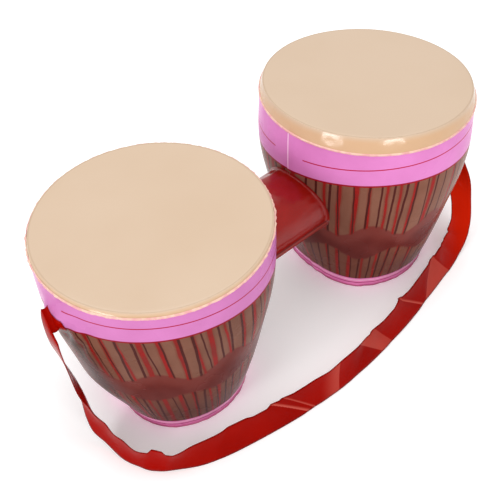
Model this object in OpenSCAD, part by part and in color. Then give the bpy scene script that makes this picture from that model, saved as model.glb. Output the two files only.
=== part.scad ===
// Inflatable toy bongos: two tapered drums of welded vinyl film that lean a little outwards, an air
// bridge between them, a carrying strap and an inflation valve. Millimetres, +Z up, the floor at z = 0.
// The origin is on the floor midway between the drums. X runs through both drums, and the front is -Y.

/* [Drums] */
// Radius of the ring weld between a head and its wall
seam_r = 120; // [105:1:135]
// Height of that weld above the base, along the drum's own axis
wall_h = 219; // [190:1:255]
// Radius of the base
base_r = 78; // [65:1:90]
// How far the air bows the wall out of a straight taper
wall_bow = 7; // [3:0.5:12]
// Rise of the flat head above its weld, which is the radius of its shoulder too
head_rise = 6.5; // [4:0.5:12]
// Distance between the centres of the two bases
drum_gap = 288; // [270:1:350]
// Angle at which each drum leans outwards
lean = 2.4; // [0.5:0.1:4]

/* [Film] */
// Thickness of the vinyl film
film = 0.4; // [0.3:0.05:0.6]
// Width of the trimmed margin outside a head weld
head_margin = 1.2; // [0.8:0.1:3]
// Width of the trimmed margin outside a base weld
base_margin = 1.5; // [1:0.1:3]
// Width of the upright lap where a wall's two edges meet
lap_w = 8; // [5:0.5:12]

/* [Bridge] */
// Height of the bridge's two side welds above the floor
bridge_z = 118; // [105:1:130]
// Half of the bridge's width between its side welds
bridge_half_w = 40; // [32:1:46]
// Rise of the upper panel above the side welds
bridge_rise = 50; // [36:1:54]
// Drop of the lower panel below the side welds
bridge_drop = 27; // [20:1:36]
// Width of the flat flange along each side weld
bridge_flange = 4; // [2:0.5:6]
// Width of the margin that is welded to a drum's wall
bridge_margin = 5; // [3:0.5:7]
// Radius of the air port from a drum into the bridge
port_r = 20; // [10:1:24]

/* [Strap] */
// Width of the strap
strap_w = 35; // [28:1:40]
// Thickness of the strap
strap_t = 0.8; // [0.6:0.1:1.2]
// Width of the strap where it is gathered at a tab
gather_w = 26; // [18:1:28]
// Height above the floor of the line that the strap swings about
anchor_z = 182; // [175:1:186]
// Room between the head's margin and the ends of the tabs
strap_clear = 6.3; // [4:0.1:9]
// Height of the part of a tab that is welded to the wall
patch_h = 17; // [12:1:24]
// How far that part reaches above the line that the strap swings about
patch_rise = 3; // [2:0.5:6]
// Angle of a tab's slanted fold
fold_slant = 10; // [0:1:14]

/* [Valve] */
// Height of the valve along the drum's axis
valve_z = 60; // [45:1:90]
// Radius of the bore that air is blown through
bore_r = 4; // [3:0.25:5]
// Wall thickness of the stem
stem_wall = 2; // [1.5:0.25:3]
// Length of the stem inside the drum when it is pushed in
stem_len = 18; // [14:1:24]
// Width of the rim that stops the stem at the wall
rim_w = 3; // [2:0.25:4]
// Thickness of the rim
rim_t = 1.5; // [1:0.25:2.5]
// Width of rim that shows round the plug's cap
rim_show = 2; // [1:0.25:3]
// How far the flap laps over the edge of the bore
flap_lap = 1.5; // [0.5:0.25:2]
// Width of the ring that welds the valve to the wall
flange_w = 10; // [7:0.5:14]
// Length of the plug's shank
shank_len = 9; // [6:0.5:12]
// Thickness of the plug's cap
cap_t = 1.6; // [1:0.2:2.4]
// Width of the tether that keeps the plug
tether_w = 3; // [2:0.5:5]
// Thickness of the tether
tether_t = 0.6; // [0.4:0.1:1]
// Gap between pieces that move on each other
slide_gap = 0.3; // [0.2:0.05:0.5]
// Gap between pieces that are welded face to face
weld_gap = 0.1; // [0.05:0.05:0.2]

/* [Hidden] */
$fn = 96;
// Steps along a wall's outline, round a shoulder and between two points of the strap's route
wall_steps = 14;
shoulder_steps = 8;
route_steps = 3;
// A length that reaches past everything
far = 700;

// How far the wall's outline runs on below its base, so that a leaning drum can be cut level
foot = base_r * sin(lean) + 2;
// Outermost distance of a head's margin from the middle, the tabs' ends just outside it, and the strap's
head_reach = drum_gap / 2 + wall_h * sin(lean) + (seam_r + head_margin) * cos(lean);
anchor_x = head_reach + strap_clear;
strap_end = anchor_x + strap_t;
// Direction of a tab's slanted fold, about as long as the other directions of the strap's route
fold_line = 9 * [0, cos(fold_slant), sin(fold_slant)];
// Top of a tab's patch in a leaning drum's own frame
patch_top = (anchor_z + seam_r * sin(lean)) / cos(lean) + patch_rise;
// Radii of the two arcs of the bridge's section, which both pass through its side welds
upper_r = (pow(bridge_half_w, 2) + pow(bridge_rise, 2)) / (2 * bridge_rise);
lower_r = (pow(bridge_half_w, 2) + pow(bridge_drop, 2)) / (2 * bridge_drop);
// How far above and below its side welds a bridge's welded margins can reach
bridge_reach = max(bridge_rise, bridge_drop) + 2 * bridge_margin;
// Angles that a tab's patch and a wall's lap take round the drum
tab_angle = gather_w / seam_r * 180 / PI;
lap_angle = lap_w / seam_r * 180 / PI;
// Sizes of the valve that follow from its bore
stem_r = bore_r + stem_wall;
rim_r = stem_r + rim_w;
rim_top = slide_gap + rim_t;
cap_r = rim_r - rim_show;
cap_z = rim_top + slide_gap;
flap_r = bore_r + flap_lap;
flap_z = -stem_len - slide_gap - film;

// Points that the strap's middle line passes through as it lies in front of the drums, each with the
// direction across the strap there. It hangs from the left tab, stands on its edge on the floor and
// rises to the right tab.
route = [
    [[-strap_end, 0, anchor_z], fold_line],
    [[-284, -9, 159], [1, 9, -3]],
    [[-281, -15, 132], [5, 9, -1]],
    [[-277, -21, 107], [7, 8, 0]],
    [[-272, -23, 88], [6, 8, 1]],
    [[-269, -23, 64], [5, 9, 0]],
    [[-266, -25, 46], [1, 9, -3]],
    [[-263, -28, 31], [-2, 8, -5]],
    [[-260, -39, 21], [0, 5, -9]],
    [[-258, -57, 18], [0, 1, -10]],
    [[-254, -75, 18], [1, 1, -10]],
    [[-246, -88, 18], [0, 1, -10]],
    [[-232, -102, 18], [1, 1, -10]],
    [[-200, -117, 18], [0, -1, -10]],
    [[-155, -128, 18], [0, -2, -10]],
    [[-80, -140, 18], [0, -2, -10]],
    [[-5, -142, 18], [0, -2, -10]],
    [[80, -131, 18], [0, -3, -10]],
    [[160, -112, 17], [0, -4, -10]],
    [[203, -100, 18], [1, -5, -10]],
    [[232, -87, 32], [4, -6, -8]],
    [[243, -73, 62], [6, -5, -5]],
    [[255, -45, 96], [1, -9, 4]],
    [[280, -14, 136], [0, -9, 3]],
    [[strap_end, 0, anchor_z], -fold_line]
];

// Sides of the pair, as signs along X
left = -1;
right = 1;

// Radius of the wall and its slope at a height along the drum's axis
function wall_r(z) =
    base_r + (seam_r - base_r) * z / wall_h + 4 * wall_bow * z / wall_h * (1 - z / wall_h);
function wall_slope(z) = (seam_r - base_r) / wall_h + 4 * wall_bow / wall_h * (1 - 2 * z / wall_h);

// Outline of the wall from one height to another, moved out by a distance square to the film and kept
// below the head weld
function wall_line(out, low = -foot, high = wall_h) = [
    for (i = [0 : wall_steps])
        let (
            z = low + (high - low) * i / wall_steps,
            tilt = atan(wall_slope(z))
        )
        [wall_r(z) + out * cos(tilt), min(z - out * sin(tilt), wall_h)]
];
function reversed(list) = [for (i = [len(list) - 1 : -1 : 0]) list[i]];

// Points of a quarter circle that starts level and ends upright
function shoulder(centre, radius) = [
    for (i = [0 : shoulder_steps])
        let (angle = 90 * i / shoulder_steps)
        centre + radius * [cos(angle), sin(angle)]
];

// Puts its children into the frame of one leaning drum
module in_drum(side) {
    translate([side * drum_gap / 2, 0, 0])
        rotate([0, side * lean, 0])
            children();
}

// Turns its children to face away from the other drum
module outwards(side) {
    rotate([0, 0, side == right ? 0 : 180])
        children();
}

// Everything above a height
module above(height) {
    translate([-far, -far, height])
        cube([2 * far, 2 * far, far]);
}

// The drum's full form up to its head weld, with the film's outside moved out by a distance
module drum_form(side, out = 0) {
    line = wall_line(out);
    first = line[0];
    last = line[len(line) - 1];
    in_drum(side)
        rotate_extrude()
            polygon(concat([[0, first[1]]], line, [[0, last[1]]]));
}

// A layer of film that follows the wall between two heights, turned through an angle
module wall_layer(side, inner, outer, low, high, angle = 360) {
    in_drum(side)
        outwards(side)
            rotate([0, 0, angle == 360 ? 0 : -angle / 2])
                rotate_extrude(angle = angle)
                    polygon(concat(wall_line(outer, low, high), reversed(wall_line(inner, low, high))));
}

// Beige head: a flat disc with a rounded shoulder and a margin that lies on the wall's own
module head(side) {
    outer = shoulder([seam_r - head_rise, wall_h], head_rise);
    inner = shoulder([seam_r - head_rise, wall_h], head_rise - film);
    margin = [[seam_r, wall_h + film], [seam_r + head_margin, wall_h + film], [seam_r + head_margin, wall_h]];
    flat_edge = [for (p = outer) if (p[1] > wall_h + film) p];
    top = wall_h + head_rise;
    color("wheat")
        in_drum(side)
            rotate_extrude()
                polygon(concat(
                    [[0, top - film], [0, top]],
                    reversed(flat_edge),
                    margin,
                    inner
                ));
}

// The margin at the top of a wall that a head is welded to
module top_margin(side) {
    in_drum(side)
        translate([0, 0, wall_h - film])
            difference() {
                cylinder(r = seam_r + head_margin, h = film);
                translate([0, 0, -1])
                    cylinder(r = seam_r - 2 * film, h = film + 2);
            }
}

// The upright lap weld, on the side that faces the other drum and clear of the bridge
module lap(side) {
    difference() {
        in_drum(side)
            outwards(-side)
                rotate([0, 0, -lap_angle / 2])
                    rotate_extrude(angle = lap_angle)
                        polygon(concat(
                            wall_line(film, 2 * foot, wall_h - film),
                            reversed(wall_line(-film / 2, 2 * foot, wall_h - film))
                        ));
        bridge_run()
            bridge_outline(bridge_margin + 1);
    }
}

// Printed wall: a tapered tube of film, cut level at the floor, with its lap and its air port
module wall(side) {
    color("sienna")
        difference() {
            intersection() {
                union() {
                    wall_layer(side, -film, 0, -foot, wall_h);
                    top_margin(side);
                    lap(side);
                }
                above(film);
            }
            port(side);
            if (side == right) stem_hole();
        }
}

// The hole for the air port, from the middle of the bridge to the drum's axis
module port(side) {
    translate([0, 0, bridge_z])
        rotate([0, side * 90, 0])
            cylinder(r = port_r, h = drum_gap / 2);
}

// Base: the level slice that closes a wall at the floor, with its margin
module base(side) {
    color("hotpink")
        intersection() {
            drum_form(side, base_margin);
            above(0);
            mirror([0, 0, 1])
                above(-film);
        }
}

// Extrudes a section, drawn across the bridge, along the bridge from one drum's axis to the other's
module bridge_run() {
    translate([-drum_gap / 2, 0, bridge_z])
        rotate([90, 0, 90])
            linear_extrude(drum_gap)
                children();
}

// Upper and lower half of the bridge's section, grown by a distance, measured from its side welds
module upper_half(grow = 0) {
    intersection() {
        translate([0, bridge_rise - upper_r])
            circle(r = upper_r + grow);
        translate([-far, 0])
            square([2 * far, far]);
    }
}
module lower_half(grow = 0) {
    mirror([0, 1])
        intersection() {
            translate([0, bridge_drop - lower_r])
                circle(r = lower_r + grow);
            translate([-far, 0])
                square([2 * far, far]);
        }
}
module bridge_outline(grow) {
    upper_half(grow);
    lower_half(grow);
}

// Flat flanges of one panel along both side welds
module side_flanges(up) {
    for (side = [left, right])
        translate([side > 0 ? bridge_half_w - 1 : -bridge_half_w - bridge_flange, up ? 0 : -film])
            square([bridge_flange + 1, film]);
}

// One panel of the bridge: half of the tube with its flanges, and the margins on both walls
module bridge_panel(up) {
    difference() {
        bridge_run()
            union() {
                difference() {
                    if (up) upper_half();
                    else lower_half();
                    if (up) upper_half(-film);
                    else lower_half(-film);
                }
                side_flanges(up);
            }
        drum_form(left, weld_gap);
        drum_form(right, weld_gap);
    }
    for (side = [left, right])
        intersection() {
            wall_layer(side, weld_gap, weld_gap + film, bridge_z - bridge_reach, bridge_z + bridge_reach);
            bridge_run()
                difference() {
                    if (up) upper_half(bridge_margin);
                    else lower_half(bridge_margin);
                    if (up) upper_half(-film);
                    else lower_half(-film);
                }
        }
}
module bridge_upper() {
    color("firebrick")
        bridge_panel(true);
}
module bridge_lower() {
    color("firebrick")
        bridge_panel(false);
}

// Strap tab: a patch on the wall and a slanted fold that stands out to the strap's end
module strap_tab(side) {
    color("crimson") {
        wall_layer(side, weld_gap, weld_gap + film, patch_top - patch_h, patch_top, tab_angle);
        difference() {
            translate([side * anchor_x, 0, anchor_z])
                rotate([fold_slant, 0, 0])
                    translate([side > 0 ? -seam_r / 2 : 0, -gather_w / 2, -film / 2])
                        cube([seam_r / 2, gather_w, film]);
            drum_form(side, weld_gap + film / 2);
        }
    }
}

// Smooth curve through the strap's route: position or direction at a step along it
function blend_points(a, b, c, d, s) =
    b + s * (c - a) / 2 + s * s * (a - 2.5 * b + 2 * c - d / 2) + s * s * s * (1.5 * (b - c) + (d - a) / 2);
function route_at(step, part) =
    let (
        last = len(route) - 1,
        i = min(floor(step / route_steps), last - 1),
        before = route[max(i - 1, 0)][part],
        after = route[min(i + 2, last)][part]
    )
    blend_points(before, route[i][part], route[i + 1][part], after, step / route_steps - i);
function unit(v) = v / norm(v);
ring_count = (len(route) - 1) * route_steps + 1;

// Width of the strap at a step: gathered at both ends
function width_at(step) =
    let (from_end = min(step, ring_count - 1 - step) / (2 * route_steps))
    gather_w + (strap_w - gather_w) * min(from_end, 1);

// The four corners of the strap's section at a step
function ring(step) =
    let (
        p = route_at(step, 0),
        along = unit(route_at(min(step + 1, ring_count - 1), 0) - route_at(max(step - 1, 0), 0)),
        across = unit(route_at(step, 1)),
        through = unit(cross(along, across)) * strap_t / 2,
        half = across * width_at(step) / 2
    )
    [p - half - through, p + half - through, p + half + through, p - half + through];

// Strap: one flat band swept along its route, with both faces split along the same diagonals
module strap_band() {
    corners = [for (step = [0 : ring_count - 1]) each ring(step)];
    last = 4 * (ring_count - 1);
    sides = [
        for (step = [0 : ring_count - 2])
            for (k = [0 : 3])
                let (
                    a = 4 * step + k,
                    b = 4 * step + (k + 1) % 4
                )
                each k < 2
                    ? [[a, a + 4, b], [b, a + 4, b + 4]]
                    : [[a, a + 4, b + 4], [a, b + 4, b]]
    ];
    ends = [[0, 1, 2], [0, 2, 3], [last, last + 2, last + 1], [last, last + 3, last + 2]];
    color("red")
        polyhedron(points = corners, faces = concat(sides, ends));
}

// Puts its children at the valve, with +Z along the way out of the wall
module at_valve() {
    in_drum(right)
        translate([0, wall_r(valve_z), valve_z])
            rotate([-90 - atan(wall_slope(valve_z)), 0, 0])
                children();
}

// Hole through the film for the valve's stem
module stem_hole() {
    at_valve()
        translate([0, 0, -stem_len])
            cylinder(r = stem_r + slide_gap, h = 2 * stem_len);
}

// Ring behind the wall that welds the valve to it
module valve_flange() {
    color("white")
        difference() {
            intersection() {
                wall_layer(right, -3 * film - weld_gap, -film - weld_gap, -foot, wall_h);
                at_valve()
                    translate([0, 0, -stem_len])
                        cylinder(r = stem_r + flange_w, h = 2 * stem_len);
            }
            stem_hole();
        }
}

// Stem that is pulled out to blow the drums up and pushed in again
module valve_stem() {
    color("white")
        at_valve()
            difference() {
                union() {
                    translate([0, 0, -stem_len])
                        cylinder(r = stem_r, h = stem_len + rim_top);
                    translate([0, 0, slide_gap])
                        cylinder(r = rim_r, h = rim_t);
                }
                translate([0, 0, -stem_len - 1])
                    cylinder(r = bore_r, h = stem_len + rim_top + 2);
            }
}

// Film flap over the stem's inner end that keeps the air in
module valve_flap() {
    color("gainsboro")
        at_valve()
            translate([0, 0, flap_z])
                cylinder(r = flap_r, h = film);
}

// Plug that closes the stem
module valve_plug() {
    color("white")
        at_valve() {
            translate([0, 0, cap_z - shank_len])
                cylinder(r = bore_r - slide_gap, h = shank_len + cap_t / 2);
            translate([0, 0, cap_z])
                cylinder(r = cap_r, h = cap_t);
        }
}

// Strip that keeps the plug on the stem
module plug_tether() {
    reach = rim_r + weld_gap;
    color("white")
        at_valve()
            translate([0, -tether_w / 2, 0]) {
                translate([reach, 0, slide_gap])
                    cube([tether_t, tether_w, cap_z + cap_t - slide_gap]);
                translate([cap_r + weld_gap, 0, cap_z + (cap_t - tether_t) / 2])
                    cube([reach - cap_r - weld_gap + tether_t / 2, tether_w, tether_t]);
            }
}

head(left);  // head_left
head(right);  // head_right
wall(left);  // wall_left
wall(right);  // wall_right
base(left);  // base_left
base(right);  // base_right
bridge_upper();
bridge_lower();
strap_tab(left);  // strap_tab_left
strap_tab(right);  // strap_tab_right
strap_band();
valve_flange();
valve_stem();
valve_flap();
valve_plug();
plug_tether();
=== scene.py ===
"""Looks of inflatable toy bongos: two printed vinyl drums, an air bridge, a strap and a valve.

Lengths are in millimetres until a mesh is made from them. Angles round a drum are measured in its own
leaning frame, from +X towards +Y.
"""

from math import asin, atan, atan2, cos, exp, hypot, pi, radians, sin, sqrt

import bpy
from mathutils import Matrix, Vector, noise


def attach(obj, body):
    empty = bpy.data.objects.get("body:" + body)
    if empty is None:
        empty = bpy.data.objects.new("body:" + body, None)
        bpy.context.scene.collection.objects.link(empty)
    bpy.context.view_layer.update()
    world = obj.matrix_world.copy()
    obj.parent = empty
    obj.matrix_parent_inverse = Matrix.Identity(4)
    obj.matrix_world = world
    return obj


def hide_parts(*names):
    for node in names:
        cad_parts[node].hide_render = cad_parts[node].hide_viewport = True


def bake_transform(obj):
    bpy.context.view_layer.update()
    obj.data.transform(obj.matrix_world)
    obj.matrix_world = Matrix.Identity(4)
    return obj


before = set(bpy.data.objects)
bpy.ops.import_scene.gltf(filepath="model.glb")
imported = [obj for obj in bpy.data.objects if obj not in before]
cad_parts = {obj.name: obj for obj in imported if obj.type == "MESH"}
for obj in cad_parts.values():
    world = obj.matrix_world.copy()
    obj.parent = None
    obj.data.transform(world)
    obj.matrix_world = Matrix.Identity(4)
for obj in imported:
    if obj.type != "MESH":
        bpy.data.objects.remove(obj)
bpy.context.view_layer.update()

# Units and the two sides, as signs along X
MM = 0.001
LEFT = -1
RIGHT = 1
NAMES = {LEFT: "left", RIGHT: "right"}

# Drums
SEAM_R = 120
WALL_H = 219
BASE_R = 78
WALL_BOW = 7
DRUM_GAP = 288
LEAN = radians(2.4)
FILM = 0.4
CIRCLE = 2 * pi * SEAM_R
# Angles round a drum: towards the camera, of the wall's lap and of the strap's tab
FRONT = radians(-132)
LAP_ANGLE = {LEFT: 0, RIGHT: pi}
TAB_ANGLE = {LEFT: pi, RIGHT: 0}
# Width of the lap and how far it stands out
LAP_W = 8
LAP_RISE = FILM + 0.2

# Heads
# Height of a head's film above its weld at the back, and how much more at the front
BACK_RISE = {LEFT: 1.5, RIGHT: 5}
FRONT_LIFT = {LEFT: 2.2, RIGHT: 11.5}
# Height, length and seed of the film's faint waves
HEAD_WAVE = (0.15, 45, 40)
# Inset of the crease where a head's flat part ends at the front, and the share of it left at the back
CREASE_IN = {LEFT: 4.5, RIGHT: 8.5}
CREASE_BACK = 0.3
# Rings of the flat part, as shares of the crease's radius
HEAD_RINGS = (0.001, 0.15, 0.3, 0.45, 0.6, 0.72, 0.82, 0.9, 0.95, 0.98)
# The crease's groove: distance out from the crease and share of the head's height
GROOVE = ((-0.6, 0.99), (0, 0.97), (0.5, 0.98))
# The shoulder: start outside the crease, share of the head's height there, and fullness of its curve
SHOULDER_START = 0.8
SHOULDER_TOP = 0.975
SHOULDER_POWER = 1.8
# Height and fineness of the shoulder's puckers
SHOULDER_PUCKER = 0.5
SHOULDER_FINE = 16
# Width over which the film turns peach outside the crease, and half the width of the painted shade along the
# crease
PEACH_W = 4.0
CREASE_SHADE_HALF = 0.6

# Margin of a head's weld
HEAD_MARGIN = 1.2
# How unevenly it was trimmed, and its mean and least width as shares of the margin
RAGGED = {LEFT: 0.9, RIGHT: 0.1}
LIP_MEAN = 0.9
LIP_LEAST = 0.2
# Its coarse and fine notches and the droop of its edge: size, fineness and seed
LIP_COARSE = (1, 22, 3)
LIP_FINE = (0.6, 55, 9)
LIP_DROOP = (0.25, 16, 17)
# Its section: distance out, share of the width added to it, height, share of the droop added to it
LIP_SECTION = ((-0.4, 0, 1.2, 0), (0, 0.7, 0.7, 1), (0, 1, 0.1, 1), (0, 0.7, -0.8, 1), (-1.2, 0, -1.6, 0))

# Bases
BASE_MARGIN = 1.5
# How unevenly and how finely it is trimmed, and its section as shares of its width and height
BASE_RAGGED = 0.25
BASE_FINE = 26
BASE_SECTION = ((-0.6, 0.9), (0.7, 0.8), (1, 0.4), (0.7, 0), (-6, 0))

# Form of the walls' film
# The slack dent low on each drum: angle, half width, depth and the height where it ends
DENT = {
    LEFT: (radians(160), radians(75), 17, 72),
    RIGHT: (radians(178), radians(50), 8, 80),
}
# How far the film draws in towards the head, on average and more at +X, and the height where that starts
DRAW_IN = {LEFT: (1.5, 0), RIGHT: (3.8, 2.5)}
DRAW_LOW = 100
# How far a drum's sides bulge, at which height, and half the height of the bulge
BULGE = {LEFT: 3, RIGHT: 4.5}
BULGE_Z = 160
BULGE_HALF = 70
# Puckers at the foot's and the head's weld: height, reach, length up the wall, fineness round it, seed
FOOT_PUCKER = (0.8, 10, 40, 9, 0)
HEAD_PUCKER = (0.5, 8, 30, 12, 5)
# The slow sway between them: height, length up the wall, fineness round it and seed
SWAY = (0.35, 60, 3, 11)
# Distances from foot and head over which the sway and the tabs' pull set in
FOOT_QUIET = (-3, 12)
HEAD_QUIET = (0, 12)
# The film at a tab, pulled out and puckered: height, half width, half height, distance below the tab
TAB_PULL = (6.5, 36, 30, -2)
TAB_PUCKER = (1.6, 55, 50, 15)
# Slant of those puckers, and their length for each radian of the wave
PUCKER_SLANT = 0.55
PUCKER_LEN = 3.6

# Print on the walls
# Slanting lines: mean distance below the head weld, dip, and the angle where they dip most
RED_LINE = {LEFT: (26, 11.5, radians(42)), RIGHT: (28, 10.5, radians(92))}
PINK_END = {LEFT: (49, 15, radians(55)), RIGHT: (53.5, 11.5, radians(62))}
# Half the red line's width, and the dark line just below the pink's end
RED_LINE_HALF = 0.7
PINK_LINE = (0.2, 2.2)
# Where the red line is broken off: turn from the lap, half a width, and softness of its ends
LINE_BREAK = {LEFT: (0.49, 0.03), RIGHT: (0, 0.0265)}
BREAK_SOFT = 0.002
# Turns between which the painted highlight along the lap's edge ends
LAP_HIGHLIGHT = (0.0018, 0.0026)
# Edges of the dark band: mean height, height and number of the waves, angle of a crest
BAND_TOP = {LEFT: (119, 9, 9, radians(227)), RIGHT: (105, 10, 9, radians(229))}
BAND_LOW = {LEFT: (76, 4, 9, radians(242)), RIGHT: (62, 9, 8, radians(201))}
# Distances from the band's top over which a painted soft highlight on the band grows towards its top
BAND_SHEEN = (-32.0, -2.0)
# Strokes: cells round a drum, seed, least and greatest half width as shares of a cell, slant
RED_STROKES = (42.0, 0.0, 0.07, 0.16, 0.004)
DARK_STROKES = (52.0, 5.1, 0.06, 0.105, 0.006)
# Part of its cell where a stroke's middle lies, the height where it does, and the width of upright strokes,
# from 0 for the least to 1 for the greatest
STROKE_PLACE = (0.34, 0.66)
STROKE_LEVEL = 110.0
UPRIGHT_WIDTH = 0.35
# How far strokes waver, how fast as they run down, and how different neighbours are
WAVER = 0.14
WAVER_RATE = 0.04
WAVER_APART = 3.7
# Share of the cells that have a stroke, and seeds for the widths and the gaps
STROKES_KEPT = 0.86
WIDTH_SEED = 0.37
GAP_SEED = 0.71
# Width of the red strokes' halo, as a share of a cell
HALO_W = 0.16
# How far strokes run on, fading, past the band's top and past its lower edge
FADE_TOP = 5.0
FADE_LOW = 4.0
# How far a drum's strokes lean: way round the drum for each length up
STROKE_LEAN = {LEFT: 0.15, RIGHT: 0}
# How much painted shade darkens a drum's print, for the drum that stands in less light
PAINTED_DRUM_SHADE = {LEFT: 0.19, RIGHT: 0.0}
# Height of the pink band at the foot, and of the pale and the dark line on it
FOOT_BAND = 15
FOOT_PALE = (10.4, 12.0)
FOOT_DARK = (5.6, 7.2)

# Bridge
BRIDGE_Z = 118
BRIDGE_HALF_W = 40
BRIDGE_RISE = 50
BRIDGE_DROP = 27
BRIDGE_FLANGE = 4
BRIDGE_MARGIN = 3.2
# Distance of its film from the walls, and about how long a panel's section is
BRIDGE_CLEAR = 0.6
BRIDGE_ROUND = 110
# How much fuller a panel is in its middle, and the seeds of the upper and of the lower one
BRIDGE_FULL = 1.2
BRIDGE_SEED = {True: 1, False: 8}
# Film gathered at the walls: height, reach, fineness round the panel and along it, length of its onset
GATHER = (2.24, 12, 22, 2, 6)
# Puckers at the side welds: height, reach, length along the panel, fineness round it, length of onset
SIDE_PUCKER = (0.9, 7, 6, 3, 4)
PUCKER_SEED = 4
# The flanges: height off the middle, gap to a wall, and height, length and seed of their waves
FLANGE_LEVEL = 0.25
FLANGE_GAP = 0.5
FLANGE_WAVE = (0.5, 14, 3)
# Width of the dark line along the side welds, and distance from them where the flanges go pale
WELD_DARK_W = 2.5
FLANGE_PALE = 0.8

# Strap
STRAP_W = 35
STRAP_T = 0.8
GATHER_W = 26
ANCHOR_Z = 182
STRAP_CLEAR = 6.3
FOLD_SLANT = radians(60)
HEAD_REACH = WALL_H * sin(LEAN) + (SEAM_R + HEAD_MARGIN) * cos(LEAN)
STRAP_END = DRUM_GAP / 2 + HEAD_REACH + STRAP_CLEAR + STRAP_T
# Direction of a tab's fold, about as long as the route's other directions
FOLD_SIZE = 9
FOLD_LINE = (0, FOLD_SIZE * cos(FOLD_SLANT), FOLD_SIZE * sin(FOLD_SLANT))
# Points of the strap's middle line, each with the direction across the strap there
ROUTE = (
    ((-STRAP_END, 0, ANCHOR_Z), FOLD_LINE),
    ((-284, -9, 159), (1.8, 9, -3)),
    ((-281, -15, 132), (3, 9, -2)),
    ((-277, -21, 107), (4, 9, -1)),
    ((-272, -23, 88), (3, 9, 0)),
    ((-269, -23, 64), (2, 9, -4)),
    ((-266, -25, 46), (0, 8, -6)),
    ((-263, -28, 31), (-1, 6, -8)),
    ((-260, -39, 21), (0, 5, -9)),
    ((-258, -57, 18), (0, 1, -10)),
    ((-254, -75, 18), (1, 1, -10)),
    ((-246, -88, 18), (0, 1, -10)),
    ((-232, -102, 18), (1, 1, -10)),
    ((-200, -117, 18), (0, -1, -10)),
    ((-155, -128, 18), (0, -2, -10)),
    ((-80, -140, 18), (0, -2, -10)),
    ((-5, -142, 18), (0, -2, -10)),
    ((80, -131, 18), (0, -3, -10)),
    ((160, -112, 17), (0, -4, -10)),
    ((203, -100, 18), (1, -5, -10)),
    ((232, -87, 32), (4, -6, -8)),
    ((243, -73, 62), (6, -5, -5)),
    ((255, -45, 96), (1, -9, 4)),
    ((280, -14, 136), (0, -9, 3)),
    ((STRAP_END, 0, ANCHOR_Z), (0, -FOLD_LINE[1], -FOLD_LINE[2])),
)
# Spans of the route over which the strap widens, and shares of that between which its folds set in
GATHER_SPANS = 2
FOLDS_START = (0.3, 2)
# How far the strap curls, and the share of a fold's height that is left at its lower edge
CURL = 0.8
LOWER_SHARE = 0.2
# Slanting folds across the strap: place along it, height, length of the steep and of the flat side, slant
FOLDS = (
    (240, -1.6, 6, 16, -0.3),
    (298, 1.2, 14, 20, -0.5),
    (379, 2.6, 4, 18, 1.2),
    (391, 2.2, 4, 12, 1.0),
    (440, -2.0, 18, 22, 0.4),
    (486, 1.6, 16, 12, -0.6),
    (520, 3.0, 5, 20, 0.75),
    (583, 3.4, 5, 20, 1.15),
    (627, 2.6, 4, 22, -0.94),
    (656, -3.0, 5, 18, 0.7),
    (682, 1.8, 5, 14, 0.6),
    (711, 2.6, 5, 16, 0.8),
    (770, 1.4, 20, 20, -0.6),
)
# Painted highlights on the film between two folds, where its facets catch the light: place along the strap,
# slant and strength at each fold
FOLD_HIGHLIGHTS = (
    ((379, 1.2, 0.6), (385, 1.2, 0)),
    ((391, 1.0, 0.4), (395, 1.0, 0)),
    ((420, -0.2, 0), (447, -0.2, 0.3)),
    ((500, 1.0, 0.3), (524, 0.7, 0.22)),
    ((583, 1.15, 0.5), (588, 1.15, 0)),
    ((627, -0.94, 0.3), (656, 0.7, 0.26)),
)
# Crumples of the strap's upper edge: place along it, half a length and height
NICKS = (
    (229, 10, 7), (229, 40, -3), (317, 18, 1.5), (345, 16, -1.2),
    (560, 10, 2.5), (640, 9, 2.2), (684, 8, 2.0),
)
# Places along the strap between which the painted light on its left part ends and the painted glow of light
# shining through its right end begins
LIT_LEFT_PART = (234.0, 250.0)
BACKLIT_RIGHT_END = (640.0, 740.0)
# Distances from the strap's edge between which it goes dark
EDGE_START = 1.6
EDGE_FULL = 0.6

# Strap tabs
PATCH_H = 17
PATCH_RISE = 3
# How much and how suddenly a patch narrows at its ends; its distance and the fold's from the wall
PATCH_ROUND = 0.12
PATCH_POWER = 6
PATCH_CLEAR = 0.7
FOLD_CLEAR = 0.5
# How far a fold sags, how unevenly, and the waves of that
FOLD_SAG = 1.2
SAG_UNEVEN = 0.4
SAG_WAVES = 3

# Valve
VALVE_Z = 60
VALVE_ANGLE = radians(90)
BORE_R = 4
STEM_R = 6
STEM_LEN = 18
RIM_R = 9
RIM_LOW = 0.3
RIM_TOP = 1.8
CAP_R = 7
CAP_LOW = 2.1
CAP_TOP = 3.7
SHANK_R = 3.7
SHANK_LEN = 9
# Bevels of the edges and of the shank's tip, width of the cap's raised rim, depth of the dish in it
VALVE_EDGE = 0.4
SHANK_TIP = 1
CAP_RIM = 2
CAP_DISH = 0.4
# Radius of a closed middle
AXIS_R = 0.01
# The tether: width, half its thickness, how far it arches out, and how far it reaches into rim and cap
TETHER_W = 3
TETHER_HALF = 0.3
TETHER_ARCH = 1.1
TETHER_SINK = 0.1
# The weld ring behind the film: radius, how far it shows, and half the width of its edge
WELD_RING_R = 16
WELD_RING_RISE = 0.25
WELD_RING_SOFT = 1

# Camera, fitted to the drums' outlines in a 500 x 500 frame; distances in metres
IMAGE_SIZE = 500
FOCAL_PIXELS = 1136.99
SENSOR_MM = 36
CLIP_START = 0.05
CAMERA_TARGET = Vector((-0.06727, -0.04440, 0.15712))
CAMERA_DISTANCE = 1.14056
CAMERA_AZIMUTH = radians(-42.21)
CAMERA_ELEVATION = radians(44.14)
CAMERA_ROLL = radians(-1.80)

# Floor and light, in metres and watts
FLOOR_HALF = 6
FLOOR_GLOW = 0.12
FLOOR_SHADES = (0.96, 0.95)
WHITE = (1, 1, 1, 1)
SKY_STRENGTH = 0.75
LIGHT_TARGET = Vector((0, 0, 0.1))
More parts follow.
